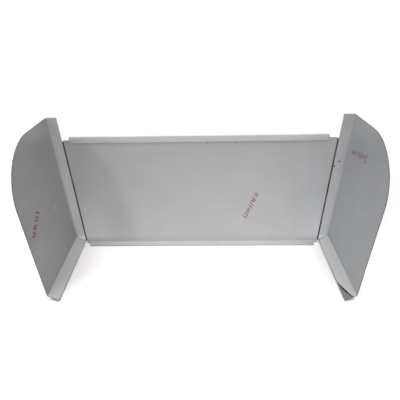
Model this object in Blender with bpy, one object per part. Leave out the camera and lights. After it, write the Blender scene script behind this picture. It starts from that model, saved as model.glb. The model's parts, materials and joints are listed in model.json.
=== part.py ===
"""A three-panel folding shield of thin sheet steel, with its protective film still on.

A wide centre panel stands on a foot lip and carries a folded hem along its top edge. A taller wing
hangs on a slim piano hinge at each end. All lengths are in metres, +Z is up, the open side faces -Y
and the origin is the centre of the base of the bounding box.
"""

import math

import bmesh
import bpy
from mathutils import Matrix, Vector

# Sheet steel and its bends
SHEET = 0.0010
BEND_RADIUS = 0.0015
BEND_STEPS = 5

# Centre panel
AXIS_SPAN = 0.551
AXIS_Y = 0.0927
EDGE_GAP = 0.0016
PANEL_TOP = 0.2644
HEM_HEIGHT = 0.0136
HEM_RADIUS = 0.0004
HEM_STEPS = 8
HEM_HALF_LENGTH = 0.2585
HEM_SHIFT = -0.0024
TOP_NOTCH_FLOOR = 0.2564
LIP_DEPTH = 0.0165
LIP_HALF_LENGTH = 0.2655
LIP_TAPER = 0.0020
LIP_NOTCH_DEPTH = 0.0055

# Wings
WING_TOP = 0.3028
WING_DEPTH = 0.1854
WING_OFFSET = 0.0216
WING_CORNER_RADIUS = 0.100
WING_CORNER_STEPS = 20
FLANGE_LENGTH = 0.0240
FLANGE_SLOPE = math.radians(36.2)
FLANGE_FLOOR_GAP = 0.0019
SEAM_GAP = 0.0004
CORNER_RELIEF = 0.0008
TOE_IN = {"left": math.radians(2.4), "right": math.radians(1.65)}

# Piano hinges: the axis lies just behind the back faces of the sheets
AXIS_SETBACK = 0.0002
HINGE_BOTTOM = 0.004
KNUCKLES = 10
KNUCKLE_PITCH = 0.025
KNUCKLE_GAP = 0.0004
BARREL_RADIUS = 0.0012
BORE_RADIUS = 0.0007
PIN_RADIUS = 0.0006
PIN_OVERHANG = 0.0005
LEAF_THICKNESS = 0.0008
LEAF_WIDTH = 0.0130
LEAF_CLEARANCE = 0.0017
BARREL_SIDES = 20

# Rivets through the leaves and sheets, flush under the film
RIVETS = 5
RIVET_PITCH = 0.055
RIVET_LINE = 0.0085
SHANK_RADIUS = 0.0014
FLUSH_HEAD_RADIUS = 0.0022
FLUSH_HEAD_DEPTH = 0.0006
BACK_HEAD_RADIUS = 0.0026
BACK_HEAD_HEIGHT = 0.0008
BACK_HEAD_SHOULDER_RADIUS = 0.0024
BACK_HEAD_SHOULDER_HEIGHT = 0.00045
BACK_HEAD_CROWN_RADIUS = 0.0014
RIVET_SIDES = 12

# Protective film
CLEARANCE = 0.0003
FILM = 0.00025
FILM_INSET = 0.0010
PEEL_START = 0.1370
PEEL_REACH = 0.0070

# Points closer than this are one, and edges sharper than this stay crisp
WELD = 0.000001
SHARP_ANGLE = math.radians(35)

SIDES = {"left": -1, "right": 1}
HINGE_LENGTH = KNUCKLES * KNUCKLE_PITCH
BACK_Y = AXIS_Y - AXIS_SETBACK
FRONT_Y = BACK_Y - SHEET
PANEL_HALF_WIDTH = AXIS_SPAN / 2 - EDGE_GAP
SHEET_FRONT = -(AXIS_SETBACK + SHEET)

STEEL = ("steel", (0.56, 0.57, 0.58, 1.0), 0.36, 1.0)
FILM_BLUE = ("protective_film", (0.52, 0.55, 0.58, 1.0), 0.42, 0.0)
HINGE_STEEL = ("hinge_steel", (0.10, 0.10, 0.11, 1.0), 0.45, 0.9)
RIVET_ALLOY = ("rivet_aluminium", (0.62, 0.62, 0.63, 1.0), 0.38, 1.0)


def clear_scene():
    for obj in list(bpy.data.objects):
        bpy.data.objects.remove(obj, do_unlink=True)


def material(name, colour, roughness, metallic):
    """One Principled material of its own for each object."""
    made = bpy.data.materials.new(name)
    made.use_nodes = True
    shader = made.node_tree.nodes["Principled BSDF"]
    shader.inputs["Base Color"].default_value = colour
    shader.inputs["Roughness"].default_value = roughness
    shader.inputs["Metallic"].default_value = metallic
    return made


def add_object(name, bm, finish, parent=None):
    """Closes the mesh's normals outwards and places it under its parent."""
    bmesh.ops.recalc_face_normals(bm, faces=bm.faces)
    mesh = bpy.data.meshes.new(name)
    bm.to_mesh(mesh)
    bm.free()
    obj = bpy.data.objects.new(name, mesh)
    bpy.context.scene.collection.objects.link(obj)
    obj.parent = parent
    if finish:
        label, colour, roughness, metallic = finish
        mesh.materials.append(material(f"{name}_{label}", colour, roughness, metallic))
    mesh.shade_smooth()
    mesh.set_sharp_from_angle(angle=SHARP_ANGLE)
    return obj


def add_axis(name, location, angle):
    axis = bpy.data.objects.new(name, None)
    axis.location = location
    axis.rotation_euler = (0, 0, angle)
    bpy.context.scene.collection.objects.link(axis)
    return axis


def cut(obj, cutter):
    """Takes the cutter's volume out of the object and hides the cutter."""
    cutter.hide_render = True
    cutter.display_type = "WIRE"
    modifier = obj.modifiers.new("holes", "BOOLEAN")
    modifier.operation = "DIFFERENCE"
    modifier.solver = "EXACT"
    modifier.object = cutter


def bend(past, radius, angle, offset):
    """Where a point ends up that lies a distance past the start of a bend, in the flat sheet.

    It gives the distance gone on along the sheet's first direction, and the distance moved to the
    bend's inner side. radius is that of the inner face, and offset is how far inside it the point is.
    """
    if past <= 0:
        return past, offset
    turned = min(past / radius, angle)
    rest = past - radius * turned
    reach = radius - offset
    along = reach * math.sin(turned) + rest * math.cos(turned)
    inward = radius - reach * math.cos(turned) + rest * math.sin(turned)
    return along, inward


def bend_stations(radius, angle, steps):
    """Distances past the start of a bend at which the sheet is divided, to the end of its arc."""
    return [radius * angle * step / steps for step in range(steps + 1)]


def folded_sheet(flat_faces, fold, inner, outer):
    """A flat blank, given as faces of (u, v) points, extruded to its thickness and then folded.

    fold(u, v, offset) places a point, inner and outer are the offsets of the two faces.
    """
    bm = bmesh.new()
    for face in flat_faces:
        bm.faces.new([bm.verts.new((u, v, 0)) for u, v in face])
    bmesh.ops.remove_doubles(bm, verts=bm.verts, dist=WELD)
    bmesh.ops.recalc_face_normals(bm, faces=bm.faces)
    extruded = bmesh.ops.extrude_face_region(bm, geom=bm.faces[:])
    for item in extruded["geom"]:
        if isinstance(item, bmesh.types.BMVert):
            item.co.z = 1
    for vert in bm.verts:
        u, v, layer = vert.co
        vert.co = fold(u, v, inner + (outer - inner) * layer)
    return bm


def strip(stations, low, high):
    """Quads across the blank between neighbouring stations, from the low to the high side."""
    return [
        [(low, a), (high, a), (high, b), (low, b)]
        for a, b in zip(stations, stations[1:])
    ]


# Centre panel -----------------------------------------------------------------------------------

LIP_BEND_START = SHEET + BEND_RADIUS
HEM_BEND_START = PANEL_TOP - SHEET - HEM_RADIUS
HEM_ARC = HEM_RADIUS * math.pi
HEM_END = HEM_BEND_START + HEM_ARC + HEM_BEND_START - (PANEL_TOP - HEM_HEIGHT)
LIP_ARC = BEND_RADIUS * math.pi / 2
LIP_END = LIP_BEND_START - LIP_ARC - (LIP_DEPTH - BEND_RADIUS)
LIP_NOTCH = LIP_END + LIP_DEPTH - LIP_NOTCH_DEPTH


def fold_panel(x, s, offset):
    """s runs up the panel's front face: above the hem's bend it folds over, below the lip's forwards."""
    if s > HEM_BEND_START:
        along, inward = bend(s - HEM_BEND_START, HEM_RADIUS, math.pi, offset)
        return Vector((x, FRONT_Y - inward, HEM_BEND_START + along))
    along, inward = bend(LIP_BEND_START - s, BEND_RADIUS, math.pi / 2, offset)
    return Vector((x, FRONT_Y - inward, LIP_BEND_START - along))


def panel_blank():
    """The flat blank: full width in the middle, narrower where the hem and the lip are cut back."""
    wide = PANEL_HALF_WIDTH
    hem_low = HEM_SHIFT - HEM_HALF_LENGTH
    hem_high = HEM_SHIFT + HEM_HALF_LENGTH
    lip_bend = [LIP_BEND_START - d for d in bend_stations(BEND_RADIUS, math.pi / 2, BEND_STEPS)]
    hem_bend = [HEM_BEND_START + d for d in bend_stations(HEM_RADIUS, math.pi, HEM_STEPS)]
    body = [
        (-wide, LIP_BEND_START),
        (wide, LIP_BEND_START),
        (wide, TOP_NOTCH_FLOOR),
        (hem_high, TOP_NOTCH_FLOOR),
        (hem_high, HEM_BEND_START),
        (hem_low, HEM_BEND_START),
        (hem_low, TOP_NOTCH_FLOOR),
        (-wide, TOP_NOTCH_FLOOR),
    ]
    lip = [
        (-wide, lip_bend[-1]),
        (wide, lip_bend[-1]),
        (wide, LIP_NOTCH),
        (LIP_HALF_LENGTH, LIP_NOTCH),
        (LIP_HALF_LENGTH - LIP_TAPER, LIP_END),
        (-LIP_HALF_LENGTH + LIP_TAPER, LIP_END),
        (-LIP_HALF_LENGTH, LIP_NOTCH),
        (-wide, LIP_NOTCH),
    ]
    hem = strip([hem_bend[-1], HEM_END], hem_low, hem_high)
    return [body, lip] + strip(lip_bend, -wide, wide) + strip(hem_bend, hem_low, hem_high) + hem


def centre_panel():
    sheet = folded_sheet(panel_blank(), fold_panel, 0, -SHEET)
    panel = add_object("centre_panel", sheet, STEEL)
    centres = [
        (side * (AXIS_SPAN / 2 - RIVET_LINE), AXIS_Y) for side in SIDES.values()
    ]
    cut(panel, sheet_hole_cutter("centre_panel_holes", centres))
    return panel


def centre_film():
    half = PANEL_HALF_WIDTH - FILM_INSET
    low = LIP_BEND_START + FILM_INSET
    high = PANEL_TOP - HEM_HEIGHT - FILM_INSET
    faces = strip([low, high], -half, half)
    film = folded_sheet(faces, fold_panel, CLEARANCE + FILM, CLEARANCE)
    return add_object("centre_film", film, FILM_BLUE)


# Wings ------------------------------------------------------------------------------------------

FLANGE_ANGLE = math.pi / 2 - FLANGE_SLOPE
FLANGE_SETBACK = BEND_RADIUS * math.tan(FLANGE_ANGLE / 2)
FLANGE_ARC = BEND_RADIUS * FLANGE_ANGLE
FLANGE_END = FLANGE_ARC + FLANGE_LENGTH - FLANGE_SETBACK
FOLD_Z = FLANGE_FLOOR_GAP + SHEET * math.cos(FLANGE_SLOPE) + FLANGE_LENGTH * math.sin(FLANGE_SLOPE)
PLATE_BOTTOM = FOLD_Z + FLANGE_SETBACK
PLATE_BACK = SHEET_FRONT - BEND_RADIUS
PLATE_FRONT_U = WING_DEPTH - BEND_RADIUS
WING_TOP_V = WING_TOP - PLATE_BOTTOM
BACK_ARC = BEND_RADIUS * math.pi / 2
BACK_END = BACK_ARC + WING_OFFSET - BEND_RADIUS - EDGE_GAP
SEAM_U = BEND_RADIUS - SEAM_GAP


def fold_wing(u, v, offset):
    """u runs forwards along the plate from its back bend, v upwards from its bottom bend.

    Points behind the seam belong to the back flange, and those below the plate to the bottom one.
    """
    if u < -SEAM_U or v >= 0:
        along, inward = bend(-u, BEND_RADIUS, math.pi / 2, offset)
        return Vector((WING_OFFSET - inward, PLATE_BACK + along, PLATE_BOTTOM + v))
    along, inward = bend(-v, BEND_RADIUS, FLANGE_ANGLE, offset)
    return Vector((WING_OFFSET - inward, PLATE_BACK - u, PLATE_BOTTOM - along))


def plate_outline(inset):
    """The flat plate, with its big round corner at the top front and a relief at the bottom back."""
    front = PLATE_FRONT_U - inset
    top = WING_TOP_V - inset
    radius = WING_CORNER_RADIUS - inset
    points = [(0, top), (0, CORNER_RELIEF), (CORNER_RELIEF, 0), (front, 0)]
    for step in range(WING_CORNER_STEPS + 1):
        angle = math.pi / 2 * step / WING_CORNER_STEPS
        across = front - radius + radius * math.cos(angle)
        points.append((across, top - radius + radius * math.sin(angle)))
    return points


def back_flange(inset, overlap):
    """The bend and the flat of the back flange, whose lower end slopes with the bottom flange.

    overlap is how far that end passes the bottom flange's inner face.
    """
    top = WING_TOP_V - inset
    free = BACK_END - inset
    foot = FLANGE_FLOOR_GAP + inset - PLATE_BOTTOM
    fall = math.tan(FLANGE_SLOPE)
    start = -FLANGE_SETBACK - BEND_RADIUS * fall - overlap / math.cos(FLANGE_SLOPE)
    level = BACK_ARC + (start - foot) / fall
    arc = bend_stations(BEND_RADIUS, math.pi / 2, BEND_STEPS)
    lows = [CORNER_RELIEF if distance <= SEAM_U else start for distance in arc]
    faces = []
    for index in range(BEND_STEPS):
        near, far = arc[index], arc[index + 1]
        faces.append([(-near, lows[index]), (-near, top), (-far, top), (-far, lows[index + 1])])
    flat = [(-BACK_ARC, start), (-BACK_ARC, top), (-free, top)]
    if level < free:
        flat += [(-free, foot), (-level, foot)]
    else:
        flat.append((-free, start - (free - BACK_ARC) * fall))
    return faces + [flat]


def bottom_flange(inset, peeled):
    """The bend and the flat of the bottom flange, its front corner cut off where the film is peeled."""
    front = PLATE_FRONT_U - inset
    end = FLANGE_END - inset
    arc = bend_stations(BEND_RADIUS, FLANGE_ANGLE, BEND_STEPS)
    faces = [
        [(CORNER_RELIEF, -a), (front, -a), (front, -b), (CORNER_RELIEF, -b)]
        for a, b in zip(arc, arc[1:])
    ]
    back = -SEAM_U + inset
    flat = [(CORNER_RELIEF, -arc[-1]), (front, -arc[-1])]
    if peeled:
        flat += [(front, -arc[-1] - PEEL_REACH), (PEEL_START, -end)]
    else:
        flat.append((front, -end))
    flat += [(back, -end), (back, -arc[-1] - CORNER_RELIEF)]
    return faces + [flat]


def wing_blank(inset, overlap, peeled=False):
    return [plate_outline(inset)] + back_flange(inset, overlap) + bottom_flange(inset, peeled)


def on_side(bm, side):
    """Mirrors a right-hand shape for the left side."""
    for vert in bm.verts:
        vert.co.x *= side
    return bm


def wing(name, side, axis):
    sheet = folded_sheet(wing_blank(0, SHEET), fold_wing, 0, -SHEET)
    panel = add_object(f"{name}_wing", on_side(sheet, side), STEEL, axis)
    cutter = sheet_hole_cutter(f"{name}_wing_holes", [(side * RIVET_LINE, 0)])
    cutter.parent = axis
    cut(panel, cutter)
    blank = wing_blank(FILM_INSET, -FILM_INSET, peeled=name == "right")
    film = folded_sheet(blank, fold_wing, CLEARANCE + FILM, CLEARANCE)
    add_object(f"{name}_wing_film", on_side(film, side), FILM_BLUE, axis)


# Turned pieces and holes ------------------------------------------------------------------------


def rivet_heights():
    middle = HINGE_BOTTOM + HINGE_LENGTH / 2
    return [middle + (index - (RIVETS - 1) / 2) * RIVET_PITCH for index in range(RIVETS)]


def turned(bm, profile, centre, sides):
    """Adds a closed body turned about the +Y direction through centre, from (radius, y) points."""
    angles = [2 * math.pi * k / sides for k in range(sides)]
    rings = []
    for radius, y in profile:
        ring = [Vector((radius * math.cos(a), y, radius * math.sin(a))) for a in angles]
        rings.append([bm.verts.new(centre + point) for point in ring])
    for lower, upper in zip(rings, rings[1:]):
        for k in range(sides):
            j = (k + 1) % sides
            bm.faces.new((lower[k], lower[j], upper[j], upper[k]))
    bm.faces.new(rings[0])
    bm.faces.new(rings[-1])


def sheet_hole_cutter(name, centres):
    """Countersunk holes, one row of rivets at each (x, axis y)."""
    flare = FLUSH_HEAD_RADIUS - SHANK_RADIUS
    wide = FLUSH_HEAD_RADIUS + CLEARANCE
    narrow = SHANK_RADIUS + CLEARANCE
    slope = flare / FLUSH_HEAD_DEPTH
    profile = [
        (wide + CLEARANCE * slope, SHEET_FRONT - CLEARANCE),
        (wide, SHEET_FRONT),
        (narrow, SHEET_FRONT + FLUSH_HEAD_DEPTH),
        (narrow, CLEARANCE),
    ]
    bm = bmesh.new()
    for x, y in centres:
        for z in rivet_heights():
            turned(bm, profile, Vector((x, y, z)), RIVET_SIDES)
    return add_object(name, bm, None)


def rivets(name, centre_x, parent):
    """A row of rivets: flush heads in the sheet's front, low domed heads behind the leaf."""
    seat = CLEARANCE - AXIS_SETBACK + LEAF_THICKNESS + CLEARANCE
    profile = [
        (FLUSH_HEAD_RADIUS, SHEET_FRONT),
        (SHANK_RADIUS, SHEET_FRONT + FLUSH_HEAD_DEPTH),
        (SHANK_RADIUS, seat),
        (BACK_HEAD_RADIUS, seat),
        (BACK_HEAD_SHOULDER_RADIUS, seat + BACK_HEAD_SHOULDER_HEIGHT),
        (BACK_HEAD_CROWN_RADIUS, seat + BACK_HEAD_HEIGHT),
    ]
    for number, z in enumerate(rivet_heights(), start=1):
        bm = bmesh.new()
        turned(bm, profile, Vector((centre_x, 0, z)), RIVET_SIDES)
        add_object(f"{name}_{number}", bm, RIVET_ALLOY, parent)


# Hinges -----------------------------------------------------------------------------------------


def leaf_section(side):
    """The leaf's section across the axis: a rolled barrel running into a flat leaf."""
    near = CLEARANCE - AXIS_SETBACK
    far = near + LEAF_THICKNESS
    first = math.asin(far / BARREL_RADIUS)
    last = 2 * math.pi + math.asin(near / BARREL_RADIUS)
    outer = []
    for step in range(BARREL_SIDES + 1):
        angle = first + (last - first) * step / BARREL_SIDES
        outer.append((side * BARREL_RADIUS * math.cos(angle), BARREL_RADIUS * math.sin(angle)))
    outer += [(side * LEAF_WIDTH, near), (side * LEAF_WIDTH, far)]
    inner = []
    for step in range(BARREL_SIDES):
        angle = 2 * math.pi * step / BARREL_SIDES
        inner.append((side * BORE_RADIUS * math.cos(angle), BORE_RADIUS * math.sin(angle)))
    return outer, inner


def loop_edges(bm, points, z):
    verts = [bm.verts.new((x, y, z)) for x, y in points]
    return [bm.edges.new((verts[k - 1], verts[k])) for k in range(len(verts))]


def leaf_body(side):
    """The leaf with its barrel rolled along its whole length."""
    bm = bmesh.new()
    edges = [edge for loop in leaf_section(side) for edge in loop_edges(bm, loop, HINGE_BOTTOM)]
    bmesh.ops.triangle_fill(bm, edges=edges, use_beauty=True)
    top = bmesh.ops.extrude_face_region(bm, geom=bm.faces[:])
    for item in top["geom"]:
        if isinstance(item, bmesh.types.BMVert):
            item.co.z += HINGE_LENGTH
    return bm


def leaf_cutter(name, side, first_knuckle):
    """Clears the other leaf's knuckles and drills the rivet holes."""
    bm = bmesh.new()
    reach = BARREL_RADIUS + CLEARANCE
    for knuckle in range(first_knuckle, KNUCKLES, 2):
        low = HINGE_BOTTOM + knuckle * KNUCKLE_PITCH - KNUCKLE_GAP / 2
        high = low + KNUCKLE_PITCH + KNUCKLE_GAP
        if knuckle == 0:
            low -= KNUCKLE_GAP
        if knuckle == KNUCKLES - 1:
            high += KNUCKLE_GAP
        width = reach + LEAF_CLEARANCE
        middle = Vector((side * (LEAF_CLEARANCE - reach) / 2, 0, (low + high) / 2))
        size = Matrix.Diagonal((width, 2 * reach, high - low, 1))
        bmesh.ops.create_cube(bm, size=1, matrix=Matrix.Translation(middle) @ size)
    radius = SHANK_RADIUS + CLEARANCE
    ends = (-AXIS_SETBACK, LEAF_THICKNESS + 2 * CLEARANCE)
    for z in rivet_heights():
        turned(bm, [(radius, y) for y in ends], Vector((side * RIVET_LINE, 0, z)), RIVET_SIDES)
    return add_object(name, bm, None)


def leaf(name, side, first_gap, parent):
    body = add_object(name, leaf_body(side), HINGE_STEEL, parent)
    cutter = leaf_cutter(f"{name}_cutter", side, first_gap)
    cutter.parent = parent
    cut(body, cutter)


def pin(name, parent):
    bm = bmesh.new()
    bmesh.ops.create_cone(
        bm,
        cap_ends=True,
        segments=BARREL_SIDES,
        radius1=PIN_RADIUS,
        radius2=PIN_RADIUS,
        depth=HINGE_LENGTH + 2 * PIN_OVERHANG,
        matrix=Matrix.Translation((0, 0, HINGE_BOTTOM + HINGE_LENGTH / 2)),
    )
    add_object(name, bm, HINGE_STEEL, parent)


def hinge(name, side, fixed, moving):
    """The fixed leaf has the lowest knuckle, and the pin is held in the fixed leaf."""
    leaf(f"{name}_hinge_fixed_leaf", -side, 1, fixed)
    leaf(f"{name}_hinge_moving_leaf", side, 0, moving)
    pin(f"{name}_hinge_pin", fixed)
    rivets(f"{name}_fixed_rivet", -side * RIVET_LINE, fixed)
    rivets(f"{name}_moving_rivet", side * RIVET_LINE, moving)


def main():
    clear_scene()
    centre_panel()
    centre_film()
    for name, side in SIDES.items():
        place = (side * AXIS_SPAN / 2, AXIS_Y, 0)
        fixed = add_axis(f"{name}_hinge_seat", place, 0)
        moving = add_axis(f"{name}_wing_axis", place, -side * TOE_IN[name])
        wing(name, side, moving)
        hinge(name, side, fixed, moving)


main()
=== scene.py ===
"""Looks of the folding sheet-steel shield: film-covered panels, hinges, rivets, floor, light and camera.

Lengths are in metres, in the frame of the CAD model: +Z is up and the open side faces -Y. Each panel is a
flat blank, divided finely, extruded to its thickness and then folded. Its protective film, the marks and
the specks on it are placed on the same folded surface.
"""

import json
import math
import random

import bmesh
import bpy
from mathutils import Matrix, Vector, noise


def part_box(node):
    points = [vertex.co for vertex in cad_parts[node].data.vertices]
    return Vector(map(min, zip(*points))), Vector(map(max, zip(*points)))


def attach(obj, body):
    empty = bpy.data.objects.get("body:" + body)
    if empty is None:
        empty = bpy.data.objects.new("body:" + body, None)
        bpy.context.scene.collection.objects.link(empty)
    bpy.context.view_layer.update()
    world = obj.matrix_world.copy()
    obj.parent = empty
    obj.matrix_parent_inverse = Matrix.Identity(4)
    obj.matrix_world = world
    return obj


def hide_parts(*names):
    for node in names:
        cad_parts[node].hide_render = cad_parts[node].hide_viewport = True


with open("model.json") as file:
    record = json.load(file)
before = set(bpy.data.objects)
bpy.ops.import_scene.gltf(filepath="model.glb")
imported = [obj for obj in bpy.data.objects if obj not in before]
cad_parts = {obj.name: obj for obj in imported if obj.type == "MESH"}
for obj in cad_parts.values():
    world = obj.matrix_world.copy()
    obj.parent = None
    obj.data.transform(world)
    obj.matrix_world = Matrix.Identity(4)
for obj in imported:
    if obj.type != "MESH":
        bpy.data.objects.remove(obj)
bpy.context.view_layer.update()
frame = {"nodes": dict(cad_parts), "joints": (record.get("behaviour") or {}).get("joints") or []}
MM = 0.001

# Sheet steel and its folds, as in the CAD model
SHEET = 1.0 * MM
BEND_RADIUS = 1.5 * MM
BEND_STEPS = 5
EDGE_GAP = 1.6 * MM
AXIS_SETBACK = 0.2 * MM
HEM_HEIGHT = 13.6 * MM
HEM_RADIUS = 0.4 * MM
HEM_STEPS = 8
HEM_HALF_LENGTH = 258.5 * MM
HEM_SHIFT = -2.4 * MM
TOP_NOTCH_FLOOR = 256.4 * MM
LIP_HALF_LENGTH = 265.5 * MM
LIP_TAPER = 2.0 * MM
LIP_NOTCH_DEPTH = 5.5 * MM
WING_DEPTH = 185.4 * MM
WING_OFFSET = 21.6 * MM
WING_CORNER_RADIUS = 100 * MM
WING_CORNER_STEPS = 32
FLANGE_LENGTH = 24.0 * MM
FLANGE_SLOPE = math.radians(36.2)
SEAM_GAP = 0.4 * MM
CORNER_RELIEF = 0.8 * MM
TOE_IN = {"left": math.radians(2.4), "right": math.radians(1.65)}
SIDES = {"left": -1, "right": 1}

# Places that the frame gives
PANEL_LOW, PANEL_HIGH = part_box("centre_panel")
WING_LOW, WING_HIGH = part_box("right_wing")
AXES = {name: Vector(joint["pos_m"]) for name in SIDES for joint in frame["joints"] if name in joint["name"]}
PANEL_HALF_WIDTH = PANEL_HIGH.x
PANEL_TOP = PANEL_HIGH.z
FRONT_Y = PANEL_HIGH.y - SHEET
LIP_DEPTH = FRONT_Y - PANEL_LOW.y
WING_TOP = WING_HIGH.z
FLANGE_FLOOR_GAP = WING_LOW.z

# How far the sheets bow out of their planes
PANEL_BOW = 0.5 * MM
PANEL_DISH = 0.25 * MM
HEM_BOW = 0.15 * MM
WING_BOW = 0.7 * MM

# Fineness of the visible surfaces
SHEET_GRID = 5 * MM
FILM_GRID = 3 * MM
CUT_EDGE_BEVEL = 0.12 * MM
SNAP = 0.02 * MM
SHARP_ANGLE = math.radians(32)

# How far from a bend's start the folding tools left their marks
DIE_REACH = 8.5 * MM

# Protective film
FILM = 0.08 * MM
FILM_LIFT = 0.03 * MM
FILM_INSET = 0.8 * MM
FILM_HINGE_INSET = 0.1 * MM
PEEL_START = 137 * MM
PEEL_REACH = 7 * MM
PEEL_CURL_WIDTH = 6 * MM
PEEL_CURL_HEIGHT = 0.9 * MM
PINCH_HEIGHT = 0.22 * MM
PINCH_REACH = 4.5 * MM
PINCH_CLEAR_OF_CORNER = 8 * MM
LIFT_HEIGHT = 0.30 * MM
LIFT_REACH = 5 * MM
LIFT_CLEAR_OF_LIP = 12 * MM

# Blisters: each panel's random seed and their number, where they may lie across and up it, and their sizes
BLISTERS = {"centre": (11, 16), "left": (37, 7), "right": (23, 9)}
BLISTER_AREAS = {"centre": ((-0.24, 0.24), (0.02, 0.23)), "wing": ((0.02, 0.16), (0.02, 0.20))}
BLISTER_RADII = (4 * MM, 10 * MM)
BLISTER_HEIGHTS = (0.06 * MM, 0.18 * MM)

# Rivets, as in the CAD model
RIVET_LINE = 8.5 * MM
SHANK_RADIUS = 1.4 * MM
FLUSH_HEAD_RADIUS = 2.2 * MM
FLUSH_HEAD_DEPTH = 0.6 * MM
BACK_HEAD_RADIUS = 2.6 * MM
BACK_HEAD_HEIGHT = 0.8 * MM
LEAF_THICKNESS = 0.8 * MM
CLEARANCE = 0.3 * MM

# The rivets' finer shape: the dome of the rear head, and the dimple in it
RIVET_SIDES = 32
DOME_LOW = math.radians(6)
DOME_HIGH = math.radians(72)
DOME_STEPS = 7
DIMPLE_RADII = (0.52 * MM, 0.26 * MM)
DIMPLE_DEPTHS = (0.02 * MM, 0.14 * MM)

# Ink strokes, specks of dirt, and old glue with painted shadow where film has come off
INK_THICKNESS = 0.02 * MM
STROKE_WIDTH = 2.8 * MM
STROKE_LENGTH = 12.6 * MM
STROKE_PITCH = 7.4 * MM
STROKE_STEPS = 6
SPECK_THICKNESS = 0.10 * MM
SPECK_SIDES = 14
GLUE_SHADOW_THICKNESS = 0.02 * MM
GLUE_SHADOW_WIDTH = 3.8 * MM
GLUE_SHADOW_OVERLAP = 0.6 * MM
GLUE_SHADOW_STEPS = 24

# Rows of ink strokes: the first and last stroke's place, their slant to the row, a random seed and their
# size. A place is x and height on the centre panel, and on a wing the depth from the back fold's corner
# and the height.
STROKES = {
    "centre": ((0.1010, 0.0700), (0.1235, 0.1310), 1.25, 5, 1.0),
    "left": ((0.1650, 0.1395), (0.1300, 0.1670), 1.25, 8, 1.25),
    "right": ((0.0272, 0.2364), (0.0880, 0.2505), 1.10, 9, 1.1),
}

# Specks of dirt: a place as above, and a radius
SPECKS = {
    "centre": [
        (-0.1009, 0.1276, 0.6 * MM),
        (0.2142, 0.0348, 0.9 * MM),
        (0.0156, 0.2482, 1.3 * MM),
        (0.0736, 0.2484, 1.1 * MM),
        (-0.2030, 0.0620, 0.5 * MM),
        (0.1620, 0.1980, 0.5 * MM),
    ],
    "left": [(-0.0140, 0.1500, 0.6 * MM), (0.0450, 0.0900, 0.5 * MM), (-0.0120, 0.0120, 0.9 * MM)],
    "right": [
        (-0.0094, 0.2047, 2.0 * MM),
        (-0.0174, 0.1937, 1.7 * MM),
        (0.0871, 0.2406, 1.8 * MM),
        (-0.0110, 0.0100, 0.9 * MM),
        (0.0090, 0.2880, 0.9 * MM),
        (0.1500, 0.0280, 0.9 * MM),
    ],
}
CENTRE_SPECK_SEED = 60
WING_SPECK_SEED = 70

# Floor, light and camera, whose place is given from the middle of the panel's front, at the base. The
# suns' widths and the camera's turns are in radians.
FLOOR_HALF_SIZE = 15
FLOOR_WHITE = 0.90
REFLECTED_GREY = 0.45
BACKDROP_RADIUS = 14
BACKDROP_HEIGHT = 24
BACKDROP_SIDES = 64
WORLD_STRENGTH = 0.12
BROAD_SUN = 0.5
NARROW_SUN = 0.16
SENSOR_WIDTH = 36
LENS = 29.12
CAMERA_FROM_PANEL = Vector((15.0 * MM, -617.6 * MM, 479.2 * MM))
CAMERA_PITCH = 0.5325
CAMERA_YAW = 0.0257
CAMERA_ROLL = -0.0210


# Folding ----------------------------------------------------------------------------------------


def bend(past, radius, angle, offset):
    """Where a point ends up that lies a distance past the start of a bend, in the flat sheet.

    It gives the distance gone on along the sheet's first direction, and the distance moved to the
    bend's inner side. radius is that of the inner face, and offset is how far inside it the point is.
    """
    if past <= 0:
        return past, offset
    swept = min(past / radius, angle)
    rest = past - radius * swept
    reach = radius - offset
    along = reach * math.sin(swept) + rest * math.cos(swept)
    inward = radius - reach * math.cos(swept) + rest * math.sin(swept)
    return along, inward


def bend_stations(radius, angle, steps):
    """Distances past the start of a bend at which the sheet is divided, to the end of its arc."""
    return [radius * angle * step / steps for step in range(steps + 1)]


def strip(stations, low, high):
    """Quads across the blank between neighbouring stations, from the low to the high side."""
    return [
        [(low, a), (high, a), (high, b), (low, b)]
        for a, b in zip(stations, stations[1:])
    ]


def smooth_step(value, start, end):
    t = min(max((value - start) / (end - start), 0), 1)
    return t * t * (3 - 2 * t)


# Centre panel -----------------------------------------------------------------------------------

LIP_BEND_START = SHEET + BEND_RADIUS
HEM_BEND_START = PANEL_TOP - SHEET - HEM_RADIUS
HEM_ARC = HEM_RADIUS * math.pi
HEM_END = HEM_BEND_START + HEM_ARC + HEM_BEND_START - (PANEL_TOP - HEM_HEIGHT)
LIP_ARC = BEND_RADIUS * math.pi / 2
LIP_END = LIP_BEND_START - LIP_ARC - (LIP_DEPTH - BEND_RADIUS)
LIP_NOTCH = LIP_END + LIP_DEPTH - LIP_NOTCH_DEPTH


def panel_wave(x, s):
    """How far the panel bows to the front: a shallow, uneven dish that dies out at its edges."""
    still = smooth_step(PANEL_HALF_WIDTH - abs(x), 15 * MM, 90 * MM)
    still *= smooth_step(s, 4 * MM, 70 * MM) * smooth_step(HEM_BEND_START - s, 12 * MM, 60 * MM)
    uneven = noise.noise(Vector((x / (170 * MM), s / (120 * MM), 3.7)))
    return still * (PANEL_BOW * uneven - PANEL_DISH)


def hem_wave(x, s):
    """How far the hem's free edge stands off or leans in, nothing at its bend."""
    share = max(s - HEM_BEND_START - HEM_ARC, 0) / HEM_HEIGHT
    return share * HEM_BOW * noise.noise(Vector((x / (55 * MM), 1.7, 0)))


def fold_panel(x, s, offset):
    """s runs up the panel's front face: above the hem's bend it folds over, below the lip's forwards."""
    if s > HEM_BEND_START:
        offset += hem_wave(x, s)
        along, inward = bend(s - HEM_BEND_START, HEM_RADIUS, math.pi, offset)
        return Vector((x, FRONT_Y - inward, HEM_BEND_START + along))
    offset += panel_wave(x, s)
    along, inward = bend(LIP_BEND_START - s, BEND_RADIUS, math.pi / 2, offset)
    return Vector((x, FRONT_Y - inward, LIP_BEND_START - along))


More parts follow.
